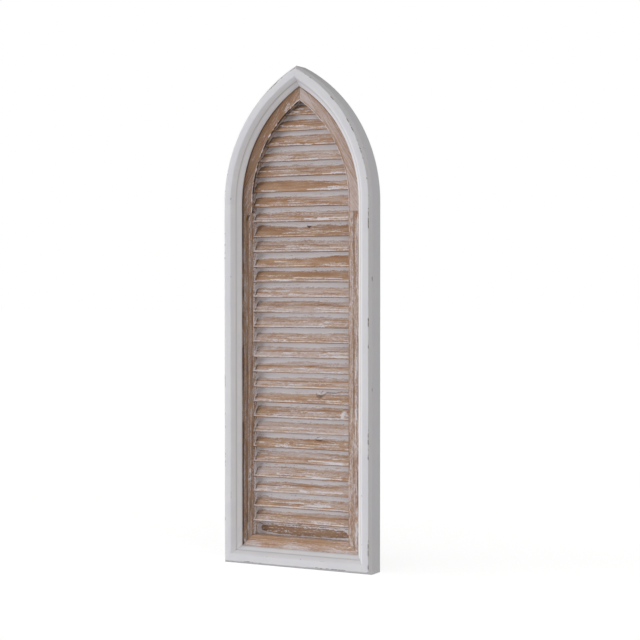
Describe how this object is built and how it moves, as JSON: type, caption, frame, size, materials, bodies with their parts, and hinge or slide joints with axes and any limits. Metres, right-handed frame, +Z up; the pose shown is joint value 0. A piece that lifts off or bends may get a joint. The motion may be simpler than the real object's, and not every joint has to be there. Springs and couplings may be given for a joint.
{
  "type": "interior window shutter",
  "caption": "Pointed-arch louvred interior window shutter with a white distressed painted frame, a whitewashed wood inner frame and fixed whitewashed wood slats",
  "frame": {"origin": "middle of the bottom rail's back face, which lies against the wall", "axes": "+X to the right seen from the front, +Y backwards into the wall, +Z up"},
  "size_m": [0.3, 0.04, 0.9],
  "materials": {
    "white_paint": "off-white matt paint on wood, worn through to grey-brown wood along the arrises",
    "inner_wood": "brown softwood with a thin streaky whitewash, sanded back on the arrises",
    "louvre_wood": "brown softwood slats with whitewash left along the upper edge, the ends and the nose"
  },
  "bodies": {
    "root": {"bottom_strip": "louvre_wood", "frame_bottom_rail": "white_paint", "frame_left_arch": "white_paint", "frame_left_stile": "white_paint", "frame_right_arch": "white_paint", "frame_right_stile": "white_paint", "inner_bottom_rail": "inner_wood", "inner_left_arch": "inner_wood", "inner_left_stile": "inner_wood", "inner_right_arch": "inner_wood", "inner_right_stile": "inner_wood", "louvre_slat_01": "louvre_wood", "louvre_slat_02": "louvre_wood", "louvre_slat_03": "louvre_wood", "louvre_slat_04": "louvre_wood", "louvre_slat_05": "louvre_wood", "louvre_slat_06": "louvre_wood", "louvre_slat_07": "louvre_wood", "louvre_slat_08": "louvre_wood", "louvre_slat_09": "louvre_wood", "louvre_slat_10": "louvre_wood", "louvre_slat_11": "louvre_wood", "louvre_slat_12": "louvre_wood", "louvre_slat_13": "louvre_wood", "louvre_slat_14": "louvre_wood", "louvre_slat_15": "louvre_wood", "louvre_slat_16": "louvre_wood", "louvre_slat_17": "louvre_wood", "louvre_slat_18": "louvre_wood", "louvre_slat_19": "louvre_wood", "louvre_slat_20": "louvre_wood", "louvre_slat_21": "louvre_wood", "louvre_slat_22": "louvre_wood", "louvre_slat_23": "louvre_wood", "louvre_slat_24": "louvre_wood", "louvre_slat_25": "louvre_wood", "louvre_slat_26": "louvre_wood", "louvre_slat_27": "louvre_wood", "louvre_slat_28": "louvre_wood"}
  },
  "joints": []
}
